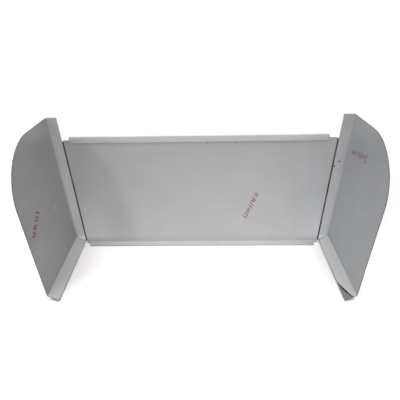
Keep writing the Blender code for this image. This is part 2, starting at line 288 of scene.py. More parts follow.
def panel_blank(inset, hinge_inset, with_hem):
    """The flat blank: full width in the middle, narrower where the hem and the lip are cut back."""
    wide = PANEL_HALF_WIDTH - hinge_inset
    hem_low = HEM_SHIFT - HEM_HALF_LENGTH + inset
    hem_high = HEM_SHIFT + HEM_HALF_LENGTH - inset
    notch = TOP_NOTCH_FLOOR - inset
    lip_wide = LIP_HALF_LENGTH - inset
    lip_end = LIP_END + inset
    lip_bend = [LIP_BEND_START - d for d in bend_stations(BEND_RADIUS, math.pi / 2, BEND_STEPS)]
    body = [
        (-wide, LIP_BEND_START),
        (wide, LIP_BEND_START),
        (wide, notch),
        (hem_high, notch),
        (hem_high, HEM_BEND_START),
        (hem_low, HEM_BEND_START),
        (hem_low, notch),
        (-wide, notch),
    ]
    lip = [
        (-wide, lip_bend[-1]),
        (wide, lip_bend[-1]),
        (wide, LIP_NOTCH + inset),
        (lip_wide, LIP_NOTCH + inset),
        (lip_wide - LIP_TAPER, lip_end),
        (-lip_wide + LIP_TAPER, lip_end),
        (-lip_wide, LIP_NOTCH + inset),
        (-wide, LIP_NOTCH + inset),
    ]
    faces = [body, lip] + strip(lip_bend, -wide, wide)
    if with_hem:
        hem_bend = [HEM_BEND_START + d for d in bend_stations(HEM_RADIUS, math.pi, HEM_STEPS)]
        faces += strip(hem_bend, hem_low, hem_high) + strip([hem_bend[-1], HEM_END], hem_low, hem_high)
    return faces


# Wings ------------------------------------------------------------------------------------------

FLANGE_ANGLE = math.pi / 2 - FLANGE_SLOPE
FLANGE_SETBACK = BEND_RADIUS * math.tan(FLANGE_ANGLE / 2)
FLANGE_ARC = BEND_RADIUS * FLANGE_ANGLE
FLANGE_END = FLANGE_ARC + FLANGE_LENGTH - FLANGE_SETBACK
FOLD_Z = FLANGE_FLOOR_GAP + SHEET * math.cos(FLANGE_SLOPE) + FLANGE_LENGTH * math.sin(FLANGE_SLOPE)
PLATE_BOTTOM = FOLD_Z + FLANGE_SETBACK
PLATE_BACK = -(AXIS_SETBACK + SHEET) - BEND_RADIUS
PLATE_FRONT_U = WING_DEPTH - BEND_RADIUS
WING_TOP_V = WING_TOP - PLATE_BOTTOM
BACK_ARC = BEND_RADIUS * math.pi / 2
BACK_END = BACK_ARC + WING_OFFSET - BEND_RADIUS - EDGE_GAP
SEAM_U = BEND_RADIUS - SEAM_GAP


def wing_wave(u, v, seed):
    """How far the plate bows inwards, dying out at its two folds."""
    still = smooth_step(u, 6 * MM, 70 * MM) * smooth_step(v, 6 * MM, 70 * MM)
    return still * WING_BOW * noise.noise(Vector((u / (130 * MM), v / (150 * MM), seed)))


def fold_wing(u, v, offset, side, seed):
    """u runs forwards along the plate from its back bend, v upwards from its bottom bend.

    Points behind the seam belong to the back flange, and those below the plate to the bottom one.
    The result is in the frame of the wing's hinge axis, square to the centre panel.
    """
    offset += wing_wave(u, v, seed)
    if u < -SEAM_U or v >= 0:
        along, inward = bend(-u, BEND_RADIUS, math.pi / 2, offset)
        return Vector((side * (WING_OFFSET - inward), PLATE_BACK + along, PLATE_BOTTOM + v))
    along, inward = bend(-v, BEND_RADIUS, FLANGE_ANGLE, offset)
    return Vector((side * (WING_OFFSET - inward), PLATE_BACK - u, PLATE_BOTTOM - along))


def wing_surface(name):
    """The folded surface of one wing at rest, as a function of (u, v, offset)."""
    side = SIDES[name]
    axis = AXES[name].copy()
    axis.z = 0
    at_rest = Matrix.Translation(axis) @ Matrix.Rotation(-side * TOE_IN[name], 4, "Z")
    seed = 5.3 + 4 * side
    return lambda u, v, offset: at_rest @ fold_wing(u, v, offset, side, seed)


def plate_outline(inset):
    """The flat plate, with its big round corner at the top front and a relief at the bottom back."""
    front = PLATE_FRONT_U - inset
    top = WING_TOP_V - inset
    radius = WING_CORNER_RADIUS - inset
    points = [(0, top), (0, CORNER_RELIEF), (CORNER_RELIEF, 0), (front, 0)]
    for step in range(WING_CORNER_STEPS + 1):
        angle = math.pi / 2 * step / WING_CORNER_STEPS
        across = front - radius + radius * math.cos(angle)
        points.append((across, top - radius + radius * math.sin(angle)))
    return points


def back_flange(inset, hinge_inset, overlap):
    """The bend and the flat of the back flange, whose lower end slopes with the bottom flange.

    overlap is how far that end passes the bottom flange's inner face.
    """
    top = WING_TOP_V - inset
    free = BACK_END - hinge_inset
    foot = FLANGE_FLOOR_GAP + inset - PLATE_BOTTOM
    fall = math.tan(FLANGE_SLOPE)
    start = -FLANGE_SETBACK - BEND_RADIUS * fall - overlap / math.cos(FLANGE_SLOPE)
    level = BACK_ARC + (start - foot) / fall
    arc = bend_stations(BEND_RADIUS, math.pi / 2, BEND_STEPS)
    lows = [CORNER_RELIEF if distance <= SEAM_U else start for distance in arc]
    faces = []
    for index in range(BEND_STEPS):
        near, far = arc[index], arc[index + 1]
        faces.append([(-near, lows[index]), (-near, top), (-far, top), (-far, lows[index + 1])])
    flat = [(-BACK_ARC, start), (-BACK_ARC, top), (-free, top)]
    if level < free:
        flat += [(-free, foot), (-level, foot)]
    else:
        flat.append((-free, start - (free - BACK_ARC) * fall))
    return faces + [flat]


def bottom_flange(inset, peeled):
    """The bend and the flat of the bottom flange, its front corner cut off where the film is peeled."""
    front = PLATE_FRONT_U - inset
    end = FLANGE_END - inset
    arc = bend_stations(BEND_RADIUS, FLANGE_ANGLE, BEND_STEPS)
    faces = [
        [(CORNER_RELIEF, -a), (front, -a), (front, -b), (CORNER_RELIEF, -b)]
        for a, b in zip(arc, arc[1:])
    ]
    back = -SEAM_U + inset
    flat = [(CORNER_RELIEF, -arc[-1]), (front, -arc[-1])]
    if peeled:
        flat += [(front, -arc[-1] - PEEL_REACH), (PEEL_START, -end)]
    else:
        flat.append((front, -end))
    flat += [(back, -end), (back, -arc[-1] - CORNER_RELIEF)]
    return faces + [flat]


def wing_blank(inset, hinge_inset, overlap, peeled=False):
    back = back_flange(inset, hinge_inset, overlap)
    return [plate_outline(inset)] + back + bottom_flange(inset, peeled)


# Meshes -----------------------------------------------------------------------------------------


def divided(flat_faces, spacing):
    """The blank as a flat mesh, cut along even grid lines in both directions."""
    bm = bmesh.new()
    for face in flat_faces:
        bm.faces.new([bm.verts.new((u, v, 0)) for u, v in face])
    bmesh.ops.remove_doubles(bm, verts=bm.verts, dist=SNAP / 10)
    for axis, normal in ((0, (1, 0, 0)), (1, (0, 1, 0))):
        places = [vert.co[axis] for vert in bm.verts]
        low, high = min(places), max(places)
        count = round((high - low) / spacing)
        for step in range(1, count):
            point = Vector((0, 0, 0))
            point[axis] = low + (high - low) * step / count
            everything = bm.verts[:] + bm.edges[:] + bm.faces[:]
            bmesh.ops.bisect_plane(bm, geom=everything, dist=SNAP, plane_co=point, plane_no=normal)
    bmesh.ops.recalc_face_normals(bm, faces=bm.faces)
    return bm


def thickened(bm, inner, outer):
    """The flat mesh as a closed slab between two offsets."""
    extruded = bmesh.ops.extrude_face_region(bm, geom=bm.faces[:])
    raised = {item for item in extruded["geom"] if isinstance(item, bmesh.types.BMVert)}
    for vert in bm.verts:
        vert.co.z = outer if vert in raised else inner
    bmesh.ops.recalc_face_normals(bm, faces=bm.faces)


def rounded_rim(bm, width):
    """Takes the sharpness off the cut edges all round the slab."""
    rim = [
        edge
        for edge in bm.edges
        if len(edge.link_faces) == 2
        and (abs(edge.link_faces[0].normal.z) > 0.5) != (abs(edge.link_faces[1].normal.z) > 0.5)
    ]
    bmesh.ops.bevel(bm, geom=rim, offset=width, segments=2, profile=0.5, affect="EDGES")


def mesh_object(name, bm, materials=()):
    """The finished bmesh as an object in the scene."""
    bmesh.ops.recalc_face_normals(bm, faces=bm.faces)
    mesh = bpy.data.meshes.new(name)
    bm.to_mesh(mesh)
    bm.free()
    for material in materials:
        mesh.materials.append(material)
    made = bpy.data.objects.new(name, mesh)
    bpy.context.scene.collection.objects.link(made)
    return made


def add_piece(name, bm, body, materials, nodes=()):
    """A visible piece that rides on a body and, where nodes are given, stands for them."""
    piece = mesh_object(name, bm, materials)
    piece.data.shade_smooth()
    piece.data.set_sharp_from_angle(angle=SHARP_ANGLE)
    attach(piece, body)
    if nodes:
        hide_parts(*nodes)
    return piece


def keep_blank_place(bm):
    """Stores each corner's place in the flat blank, in metres, for the materials."""
    layer = bm.loops.layers.uv.new("blank")
    for face in bm.faces:
        for loop in face.loops:
            loop[layer].uv = loop.vert.co.xy


def folded_sheet(name, body, flat_faces, surface, materials, rivet_columns):
    """Steel: slot 0 is the film's side, slot 1 the reverse and slot 2 the cut edge."""
    bm = divided(flat_faces, SHEET_GRID)
    thickened(bm, 0, -SHEET)
    rounded_rim(bm, CUT_EDGE_BEVEL)
    keep_blank_place(bm)
    for face in bm.faces:
        if abs(face.normal.z) < 0.95:
            face.material_index = 2
        elif face.calc_center_median().z < -SHEET / 2:
            face.material_index = 1
    for vert in bm.verts:
        vert.co = surface(*vert.co)
    piece = add_piece(f"{name}_sheet", bm, body, materials, [name])
    drill(piece, rivet_columns)


def folded_film(name, body, flat_faces, surface, relief, material, node):
    """Film: relief(u, v) is how far it stands off the steel above its usual lift."""
    bm = divided(flat_faces, FILM_GRID)
    thickened(bm, FILM_LIFT, FILM_LIFT + FILM)
    keep_blank_place(bm)
    for vert in bm.verts:
        u, v, offset = vert.co
        vert.co = surface(u, v, offset + relief(u, v))
    add_piece(name, bm, body, [material], [node])


# Rivets -----------------------------------------------------------------------------------------


def turned(bm, profile, place):
    """Adds a closed body turned about the +Y direction of a placing matrix, from (radius, y) points."""
    angles = [2 * math.pi * k / RIVET_SIDES for k in range(RIVET_SIDES)]
    rings = []
    for radius, y in profile:
        ring = [Vector((radius * math.cos(a), y, radius * math.sin(a))) for a in angles]
        rings.append([bm.verts.new(place @ point) for point in ring])
    for lower, upper in zip(rings, rings[1:]):
        for k in range(RIVET_SIDES):
            j = (k + 1) % RIVET_SIDES
            bm.faces.new((lower[k], lower[j], upper[j], upper[k]))
    bm.faces.new(rings[0])
    bm.faces.new(rings[-1])


def rivet_places(name, moving):
    """Where the rivets of one leaf are: the CAD rivets' heights, on the leaf's line."""
    side = SIDES[name]
    kind = "moving" if moving else "fixed"
    towards = side if moving else -side
    turn = -side * TOE_IN[name] if moving else 0
    places = []
    for node in sorted(frame["nodes"]):
        if node.startswith(f"{name}_{kind}_rivet"):
            low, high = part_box(node)
            point = Vector((AXES[name].x, AXES[name].y, (low.z + high.z) / 2))
            seat = Matrix.Translation(point) @ Matrix.Rotation(turn, 4, "Z")
            places.append((node, seat @ Matrix.Translation((towards * RIVET_LINE, 0, 0))))
    return places


def drill(piece, columns):
    """Cuts the countersunk rivet holes of leaves, each given as (hinge, moving), through a sheet."""
    front = -(AXIS_SETBACK + SHEET)
    narrow = SHANK_RADIUS + CLEARANCE
    profile = [
        (FLUSH_HEAD_RADIUS + 2 * CLEARANCE, front - CLEARANCE),
        (FLUSH_HEAD_RADIUS + CLEARANCE, front),
        (narrow, front + FLUSH_HEAD_DEPTH),
        (narrow, CLEARANCE),
    ]
    bm = bmesh.new()
    for name, moving in columns:
        for _, place in rivet_places(name, moving):
            turned(bm, profile, place)
    drills = mesh_object("drills", bm)
    boolean = piece.modifiers.new("rivet_holes", "BOOLEAN")
    boolean.operation = "DIFFERENCE"
    boolean.solver = "EXACT"
    boolean.object = drills
    bpy.context.view_layer.update()
    evaluated = piece.evaluated_get(bpy.context.evaluated_depsgraph_get())
    cut = bpy.data.meshes.new_from_object(evaluated)
    piece.modifiers.remove(boolean)
    piece.data = cut
    bpy.data.objects.remove(drills)


def rivet_profile():
    """A flush head in the sheet, the shank, and behind the leaf a domed head with a dimple from its set."""
    front = -(AXIS_SETBACK + SHEET)
    seat = CLEARANCE - AXIS_SETBACK + LEAF_THICKNESS + CLEARANCE
    points = [
        (FLUSH_HEAD_RADIUS, front),
        (SHANK_RADIUS, front + FLUSH_HEAD_DEPTH),
        (SHANK_RADIUS, seat),
        (BACK_HEAD_RADIUS * 0.97, seat),
    ]
    for step in range(DOME_STEPS + 1):
        angle = DOME_LOW + (DOME_HIGH - DOME_LOW) * step / DOME_STEPS
        height = seat + BACK_HEAD_HEIGHT * math.sin(angle)
        points.append((BACK_HEAD_RADIUS * math.cos(angle), height))
    top = points[-1][1]
    return points + [(radius, top - depth) for radius, depth in zip(DIMPLE_RADII, DIMPLE_DEPTHS)]


def make_rivets():
    for name in SIDES:
        for moving, body in ((False, "centre"), (True, f"{name}_side")):
            for node, place in rivet_places(name, moving):
                bm = bmesh.new()
                turned(bm, rivet_profile(), place)
                add_piece(f"{node}_turned", bm, body, [RIVET_METAL], [node])


# What shows on the film -------------------------------------------------------------------------


def blisters(seed, count, ranges):
    """Small air blisters under the film, as (u, v, radius, height)."""
    draw = random.Random(seed)
    (low_u, high_u), (low_v, high_v) = ranges
    found = []
    for _ in range(count):
        place = (draw.uniform(low_u, high_u), draw.uniform(low_v, high_v))
        found.append((*place, draw.uniform(*BLISTER_RADII), draw.uniform(*BLISTER_HEIGHTS)))
    return found


def blister_height(found, u, v):
    height = 0.0
    for middle_u, middle_v, radius, rise in found:
        share = 1 - ((u - middle_u) ** 2 + (v - middle_v) ** 2) / radius**2
        if share > 0:
            height += rise * share * share
    return height


def fold_pinch(distance, along):
    """The film's small wrinkles across an inside fold, at a distance from it and a place along it."""
    ridge = max(noise.noise(Vector((along / (8 * MM), 7.1, 0))), 0)
    return PINCH_HEIGHT * ridge * math.exp(-((distance / PINCH_REACH) ** 2))


def edge_lift(distance, along):
    """How far the film has come off along a cut edge."""
    loose = max(noise.noise(Vector((along / (30 * MM), 2.3, 0))), 0)
    return LIFT_HEIGHT * loose * (1 - smooth_step(distance, 0, LIFT_REACH))


def centre_relief(found):
    def relief(x, s):
        height = blister_height(found, x, s) + fold_pinch(s - LIP_BEND_START, x)
        if s > LIP_BEND_START + LIFT_CLEAR_OF_LIP:
            height += edge_lift(PANEL_HALF_WIDTH - abs(x), s + x)
        return height

    return relief


def plate_edge_distance(u, v):
    """How far a point of the plate is from its free edge, round corner included."""
    across = u - (PLATE_FRONT_U - WING_CORNER_RADIUS)
    up = v - (WING_TOP_V - WING_CORNER_RADIUS)
    if across > 0 and up > 0:
        return WING_CORNER_RADIUS - math.hypot(across, up)
    return min(PLATE_FRONT_U - u, WING_TOP_V - v)


def peel_distance(u, v):
    """How far a point of the bottom flange is from the torn edge of the film, inside it."""
    start = Vector((PEEL_START, -FLANGE_END + FILM_INSET))
    end = Vector((PLATE_FRONT_U - FILM_INSET, -FLANGE_ARC - PEEL_REACH))
    along = (end - start).normalized()
    return (Vector((u, v)) - start).cross(along) * -1


def wing_relief(found, peeled):
    def relief(u, v):
        height = blister_height(found, u, v)
        if u >= 0 and v >= 0:
            height += edge_lift(plate_edge_distance(u, v), u + v)
        if v > PINCH_CLEAR_OF_CORNER:
            height += fold_pinch(u, v)
        if u > PINCH_CLEAR_OF_CORNER:
            height += fold_pinch(v, u)
        if peeled and v < 0 < u:
            loose = 1 - smooth_step(peel_distance(u, v), 0, PEEL_CURL_WIDTH)
            height += PEEL_CURL_HEIGHT * loose * loose
        return height

    return relief


# Ink, dirt and glue with painted shadow -----------------------------------------------------------


def laid_on(name, body, flat_faces, surface, lift, thickness, material):
    """Thin closed flakes that follow a folded surface, lift(u, v) above the steel."""
    bm = bmesh.new()
    for face in flat_faces:
        bm.faces.new([bm.verts.new((u, v, 0)) for u, v in face])
    bmesh.ops.remove_doubles(bm, verts=bm.verts, dist=SNAP / 10)
    thickened(bm, 0, thickness)
    keep_blank_place(bm)
    for vert in bm.verts:
        u, v, offset = vert.co
        vert.co = surface(u, v, offset + lift(u, v))
    add_piece(name, bm, body, [material])


def above_film(relief):
    return lambda u, v: FILM_LIFT + FILM + FILM_LIFT + relief(u, v)


def ribbon(edges):
    """Quads between neighbouring crosswise edges."""
    return [[a[0], a[1], b[1], b[0]] for a, b in zip(edges, edges[1:])]


def stroke(start, along, length, width, draw):
    """A short pen stroke as quads, tapered at both ends and bent a little."""
    across = Vector((-along.y, along.x))
    sway = draw.uniform(-0.12, 0.12) * length
    edges = []
    for step in range(STROKE_STEPS + 1):
        share = step / STROKE_STEPS
        swell = math.sqrt(math.sin(math.pi * (0.06 + 0.88 * share)))
        middle = start + along * (share - 0.5) * length + across * sway * math.sin(math.pi * share)
        half = across * width * swell / 2
        edges.append((middle - half, middle + half))
    return ribbon(edges)


def pen_strokes(first, last, slant, seed, size):
    """A row of separate slanted strokes, uneven in length and spacing, with no lettering in it."""
    draw = random.Random(seed)
    first, last = Vector(first), Vector(last)
    row = last - first
    count = round(row.length / STROKE_PITCH)
    faces = []
    for index in range(count + 1):
        place = first + row * (index + draw.uniform(-0.12, 0.12)) / count
        turn = Matrix.Rotation(slant + draw.uniform(-0.3, 0.3), 2)
        along = turn @ row.normalized()
        length = STROKE_LENGTH * size * draw.uniform(0.75, 1.15)
        faces += stroke(place, along, length, STROKE_WIDTH * size * draw.uniform(0.8, 1.1), draw)
    return faces


def speck(u, v, radius, seed):
    """An uneven fleck of dirt, as triangles around its middle."""
    draw = random.Random(seed)
    rim = []
    for step in range(SPECK_SIDES):
        angle = 2 * math.pi * step / SPECK_SIDES
        reach = radius * draw.uniform(0.78, 1.1)
        rim.append((u + reach * math.cos(angle), v + reach * math.sin(angle)))
    return [[(u, v), a, b] for a, b in zip(rim, rim[1:] + rim[:1])]


def specks(places, seed):
    """Flecks at (u, v, radius)."""
    return [face for index, place in enumerate(places) for face in speck(*place, seed + index)]


def glue_and_shadow_band():
    """The dark, uneven band beside the film's torn edge, on the bare steel: partly old glue, partly painted
    shadow of the lifted film.
    """
    start = Vector((PEEL_START + 2 * MM, -FLANGE_END + 0.4 * MM))
    end = Vector((PLATE_FRONT_U - 0.6 * MM, -FLANGE_ARC - PEEL_REACH + 0.2 * MM))
    along = (end - start).normalized()
    across = Vector((along.y, -along.x))
    edges = []
    for step in range(GLUE_SHADOW_STEPS + 1):
        share = step / GLUE_SHADOW_STEPS
        middle = start + (end - start) * share
        ragged = 0.8 + 0.4 * noise.noise(Vector((share * 9, 4.2, 0)))
        width = GLUE_SHADOW_WIDTH * math.sin(math.pi * (0.04 + 0.86 * share)) * ragged
        edges.append((middle - across * GLUE_SHADOW_OVERLAP, middle + across * width))
    return ribbon(edges)


# Materials --------------------------------------------------------------------------------------


class Finish:
    """A Principled material and the nodes that vary it over the surface."""

    def __init__(self, name, place, roughness, metallic=0.0, ior=1.5, seed=0):
        self.seed = seed
        self.material = bpy.data.materials.new(name)
        self.material.use_nodes = True
        self.tree = self.material.node_tree
        self.shader = self.tree.nodes["Principled BSDF"]
        self.shader.inputs["Roughness"].default_value = roughness
        self.shader.inputs["Metallic"].default_value = metallic
        self.shader.inputs["IOR"].default_value = ior
        if place == "blank":
            self.place = self.node("UVMap", uv_map="blank").outputs["UV"]
        else:
            self.place = self.node("TexCoord").outputs["Object"]
        self.last_bump = None

    def node(self, kind, links=(), **settings):
        made = self.tree.nodes.new(f"ShaderNode{kind}")
        for key, value in settings.items():
            setattr(made, key, value)
        for key, value in dict(links).items():
            if isinstance(value, bpy.types.NodeSocket):
                self.tree.links.new(value, made.inputs[key])
            else:
                made.inputs[key].default_value = value
        return made

    def noise(self, size, detail=3, stretch=(1, 1, 1), turn=0, shift=0):
        """Noise whose features have this size in metres, drawn out by stretch."""
        scale = [1 / (size * along) for along in stretch]
        links = {"Vector": self.place, "Scale": scale, "Rotation": (0, 0, turn)}
        links["Location"] = (shift, shift, self.seed)
        place = self.node("Mapping", links).outputs[0]
        return self.node("TexNoise", {"Vector": place, "Scale": 1, "Detail": detail}).outputs[0]

    def scratches(self, length, width, turn, share):
        """1 on a share of long thin cells' borders, 0 elsewhere."""
        bent = self.noise(length, detail=1, shift=turn)
        links = {"Vector": self.place, "Rotation": (0, 0, turn), "Location": (0, 0, self.seed)}
        links["Scale"] = (1 / length, 12 / length, 1 / length)
        turned_place = self.node("Mapping", links).outputs[0]
        warped = self.node("VectorMath", {0: turned_place, 1: bent}, operation="ADD").outputs[0]
        cells = self.node("TexVoronoi", {"Vector": warped, "Scale": 1}, feature="DISTANCE_TO_EDGE")
        line = self.ranged(cells.outputs["Distance"], 1, 0, 0, width * 12 / length)
        kept = self.ranged(self.noise(length / 2, shift=3 + turn), 0, 1, 1 - share, 1.05 - share)
        return self.product(line, kept)

    def spots(self, size, radius, share):
        """1 in small round dots, in a share of the cells of this size."""
        links = {"Vector": self.place, "Scale": [1 / size] * 3, "Location": (0, self.seed, 0)}
        place = self.node("Mapping", links).outputs[0]
        cells = self.node("TexVoronoi", {"Vector": place, "Scale": 1})
        dot = self.ranged(cells.outputs["Distance"], 1, 0, radius * 0.6, radius)
        chance = self.node("SeparateColor", {"Color": cells.outputs["Color"]}).outputs["Red"]
        return self.product(dot, self.ranged(chance, 1, 0, share, share + 0.01))

    def ranged(self, value, low, high, start=0.3, end=0.7):
        """From low to high as the value goes from start to end, which suit a noise unless they are given."""
        links = {"Value": value, "From Min": start, "From Max": end, "To Min": low, "To Max": high}
        return self.node("MapRange", links, interpolation_type="LINEAR").outputs["Result"]

    def product(self, first, second):
        return self.node("Math", {0: first, 1: second}, operation="MULTIPLY").outputs[0]

    def total(self, first, second):
        return self.node("Math", {0: first, 1: second}, operation="ADD").outputs[0]

    def away(self, value, place):
        """How far a value is from a place, to either side."""
        beside = self.node("Math", {0: value, 1: place}, operation="SUBTRACT").outputs[0]
        return self.node("Math", {0: beside}, operation="ABSOLUTE").outputs[0]

    def partly(self, share, factor):
        """The factor where share is 1, one where it is 0, and in between elsewhere."""
        excess = self.total(factor, -1.0)
        return self.node("Math", {0: share, 1: excess, 2: 1.0}, operation="MULTIPLY_ADD").outputs[0]

    def mixed(self, factor, first, second):
        """Between two colours, each a socket or an (r, g, b) triple."""
        colours = [(*c, 1) if isinstance(c, tuple) else c for c in (first, second)]
        links = {0: factor, 6: colours[0], 7: colours[1]}
        return self.node("Mix", links, data_type="RGBA").outputs[2]

    def shaded(self, colour, value):
        """A colour times a number that varies over the surface."""
        grey = self.node("CombineColor", {"Red": value, "Green": value, "Blue": value}).outputs[0]
        links = {0: 1.0, 6: colour, 7: grey}
        return self.node("Mix", links, data_type="RGBA", blend_type="MULTIPLY").outputs[2]

    def along(self, axis):
        return self.node("SeparateXYZ", {"Vector": self.place}).outputs[axis]

    def bump(self, height, depth):
        links = {"Height": height, "Distance": depth, "Strength": 1.0}
        if self.last_bump:
            links["Normal"] = self.last_bump
        self.last_bump = self.node("Bump", links).outputs[0]

    def done(self, colour=None, roughness=None):
        for key, value in (("Base Color", colour), ("Roughness", roughness), ("Normal", self.last_bump)):
            if value:
                self.tree.links.new(value, self.shader.inputs[key])
        return self.material


def wing_painted_light(film, colour, back, bottom):
    """Painted light: the film is made paler on both flanges, the back one most at its foot.

    back has the painted light's factors on the back flange at its foot and its top, and bottom is the bottom
    flange's.
    """
    # Painted light on the back flange, strongest at its foot.
    on_back = film.ranged(film.along(0), 1, 0, -4.5 * MM, 1.0 * MM)
    by_height = film.ranged(film.along(1), *back, 0, WING_TOP_V)
    colour = film.shaded(colour, film.partly(on_back, by_height))
    # Painted light on the bottom flange.
    return film.shaded(colour, film.ranged(film.along(1), bottom, 1, -2.0 * MM, 0.5 * MM))


def panel_painted_light(film, colour, corners, lip_ends):
    """Painted light and painted shade: the film is made paler towards each lower corner of the panel, more
    so at the left one, and darker at the lip's ends.
    """
    # Painted light: paler towards the lower left and right of the panel.
    outwards = film.away(film.along(0), 12 * MM)
    beside = film.ranged(outwards, 0, 1, 205 * MM, 285 * MM)
    above_lip = film.ranged(film.along(1), 0, 1, 0, 20 * MM)
    by_height = film.ranged(film.along(1), corners, 1, 0, 150 * MM)
    colour = film.shaded(colour, film.partly(film.product(beside, above_lip), by_height))
    # Painted shade: the lip darker towards its ends.
    on_lip = film.ranged(film.along(1), 1, 0, 0, 2.5 * MM)
    towards_ends = film.ranged(outwards, 1, lip_ends, 120 * MM, 250 * MM)
    return film.shaded(colour, film.partly(on_lip, towards_ends))


def film_finish(name, seed, foot, top, tone, **factors):
    """Blue-grey polyethylene film: cloudy, faintly rippled and scuffed.

    foot and top are the factors of a painted light and shade gradient at a panel's bottom and top. tone is a
    function that paints the rest of the light and shade over that panel, from the factors.
    """
    film = Finish(name, "blank", 0.2, ior=1.38, seed=seed)
    cloud = film.ranged(film.noise(75 * MM), 0, 1)
    colour = film.mixed(cloud, (0.383, 0.393, 0.403), (0.409, 0.417, 0.427))
    # Painted light and shade: the film's tone runs from the foot factor at the bottom to the top factor at
    # the top, as light falls unevenly up the panel.
    colour = film.shaded(colour, film.ranged(film.along(1), foot, top, 0, WING_TOP_V))
    drawn = film.ranged(film.noise(10 * MM, stretch=(14, 1, 1), shift=2), 0.988, 1.012)
    colour = film.shaded(colour, drawn)
    haze = film.ranged(film.noise(2.2 * MM, detail=5, shift=5), 0.988, 1.012)
    colour = film.shaded(colour, haze)
    scuffs = film.scratches(90 * MM, 0.3 * MM, 0.5, 0.34)
    more_scuffs = film.scratches(60 * MM, 0.2 * MM, 2.2, 0.32)
    lines = film.total(scuffs, more_scuffs)
    colour = film.mixed(film.ranged(lines, 0, 0.14, 0, 1), colour, (0.62, 0.63, 0.64))
    dust = film.spots(22 * MM, 0.022, 0.18)
    colour = film.mixed(film.ranged(dust, 0, 0.30, 0, 1), colour, (0.16, 0.16, 0.16))
    # Painted light and shade, from the panel's own tone function.
    colour = tone(film, colour, **factors)
    smudge = film.ranged(film.noise(28 * MM, detail=6, shift=8), 0.10, 0.20)
    roughness = film.total(smudge, film.ranged(lines, 0, 0.25, 0, 1))
    film.bump(film.noise(1.1 * MM, detail=2, shift=1), 0.006 * MM)
    film.bump(film.noise(13 * MM, detail=2, stretch=(1, 1.8, 1), shift=4), 0.03 * MM)
    film.bump(lines, 0.012 * MM)
    film.bump(film.spots(16 * MM, 0.05, 0.25), 0.03 * MM)
    return film.done(colour, roughness)


def steel_grain(steel, depth):
    """Fine rolling lines along the blank's first direction."""
    fine = steel.noise(0.22 * MM, detail=2, stretch=(90, 1, 1))
    coarse = steel.noise(0.9 * MM, detail=3, stretch=(60, 1, 1), shift=6)
    steel.bump(fine, depth)
    steel.bump(coarse, depth * 2)
    return steel.total(steel.ranged(fine, 0, 0.5), steel.ranged(coarse, 0, 0.5))


def reverse_finish(name, die_marks, seed):
    """Satin rolled steel: directional grain, faint bands, handling marks, scratches and die marks.

    die_marks are the lines that the folding tools left, as (direction, distance) in the blank.
    """
    steel = Finish(name, "blank", 0.42, metallic=0.40, seed=seed)
    steel.shader.inputs["Anisotropic"].default_value = 0.5
    tangent = steel.node("Tangent", direction_type="UV_MAP", uv_map="blank").outputs[0]
    steel.tree.links.new(tangent, steel.shader.inputs["Tangent"])
    grain = steel_grain(steel, 0.005 * MM)
    colour = steel.mixed(grain, (0.525, 0.530, 0.537), (0.625, 0.625, 0.622))
    bands = steel.ranged(steel.noise(6 * MM, detail=3, stretch=(40, 1, 1), shift=3), 0.955, 1.045)
    colour = steel.shaded(colour, bands)
    lines = steel.scratches(110 * MM, 0.3 * MM, 0.9, 0.36)
    lines = steel.total(lines, steel.scratches(50 * MM, 0.2 * MM, 2.6, 0.34))
    lines = steel.total(lines, steel.scratches(160 * MM, 0.2 * MM, 0.05, 0.40))
    colour = steel.mixed(steel.ranged(lines, 0, 0.26, 0, 1), colour, (0.82, 0.82, 0.82))
    handled = steel.ranged(steel.noise(35 * MM, detail=5, shift=11), 0, 0.14, 0.56, 0.72)
    colour = steel.mixed(handled, colour, (0.40, 0.395, 0.39))
    spots = steel.spots(30 * MM, 0.030, 0.22)
    colour = steel.mixed(steel.ranged(spots, 0, 0.35, 0, 1), colour, (0.20, 0.19, 0.18))
    for axis, distance in die_marks:
        mark = steel.ranged(steel.away(steel.along(axis), distance), 0.22, 0, 0.4 * MM, 1.0 * MM)
        colour = steel.mixed(mark, colour, (0.30, 0.30, 0.30))
        steel.bump(mark, 0.03 * MM)
    smudge = steel.ranged(steel.noise(24 * MM, detail=6, shift=9), 0.32, 0.50)
    roughness = steel.total(smudge, steel.ranged(grain, -0.05, 0.06, 0, 1))
    steel.bump(lines, -0.015 * MM)
    steel.bump(steel.noise(30 * MM, detail=2, shift=7), 0.08 * MM)
    return steel.done(colour, roughness)


def face_finish():
    """The bare front of the steel: darker, brushed, with traces of glue."""
    steel = Finish("steel_face", "blank", 0.38, metallic=0.65)
    grain = steel_grain(steel, 0.006 * MM)
    colour = steel.mixed(grain, (0.27, 0.272, 0.276), (0.38, 0.382, 0.386))
    glue = steel.ranged(steel.noise(6 * MM, detail=5, stretch=(2, 1, 1), shift=2), 0, 0.7, 0.52, 0.66)
    colour = steel.mixed(glue, colour, (0.11, 0.108, 0.105))
    lines = steel.scratches(40 * MM, 0.2 * MM, 1.3, 0.4)
    colour = steel.mixed(steel.ranged(lines, 0, 0.5, 0, 1), colour, (0.5, 0.5, 0.5))
    roughness = steel.total(steel.ranged(grain, 0.30, 0.42, 0, 1), steel.ranged(glue, 0, 0.2, 0, 1))
    steel.bump(lines, -0.01 * MM)
    return steel.done(colour, roughness)


def edge_finish():
    """Laser-cut edges: dark oxide with fine lines across the thickness and bright nicks."""
    edge = Finish("steel_cut_edge", "object", 0.5, metallic=0.55)
    lines = edge.noise(0.35 * MM, detail=3)
    colour = edge.mixed(edge.ranged(lines, 0, 1), (0.075, 0.075, 0.08), (0.19, 0.19, 0.195))
    nicks = edge.ranged(edge.noise(6 * MM, detail=4, shift=3), 0, 0.6, 0.60, 0.70)
    colour = edge.mixed(nicks, colour, (0.42, 0.42, 0.42))
    edge.bump(lines, 0.03 * MM)
    return edge.done(colour, edge.ranged(edge.noise(4 * MM, shift=5), 0.40, 0.62))


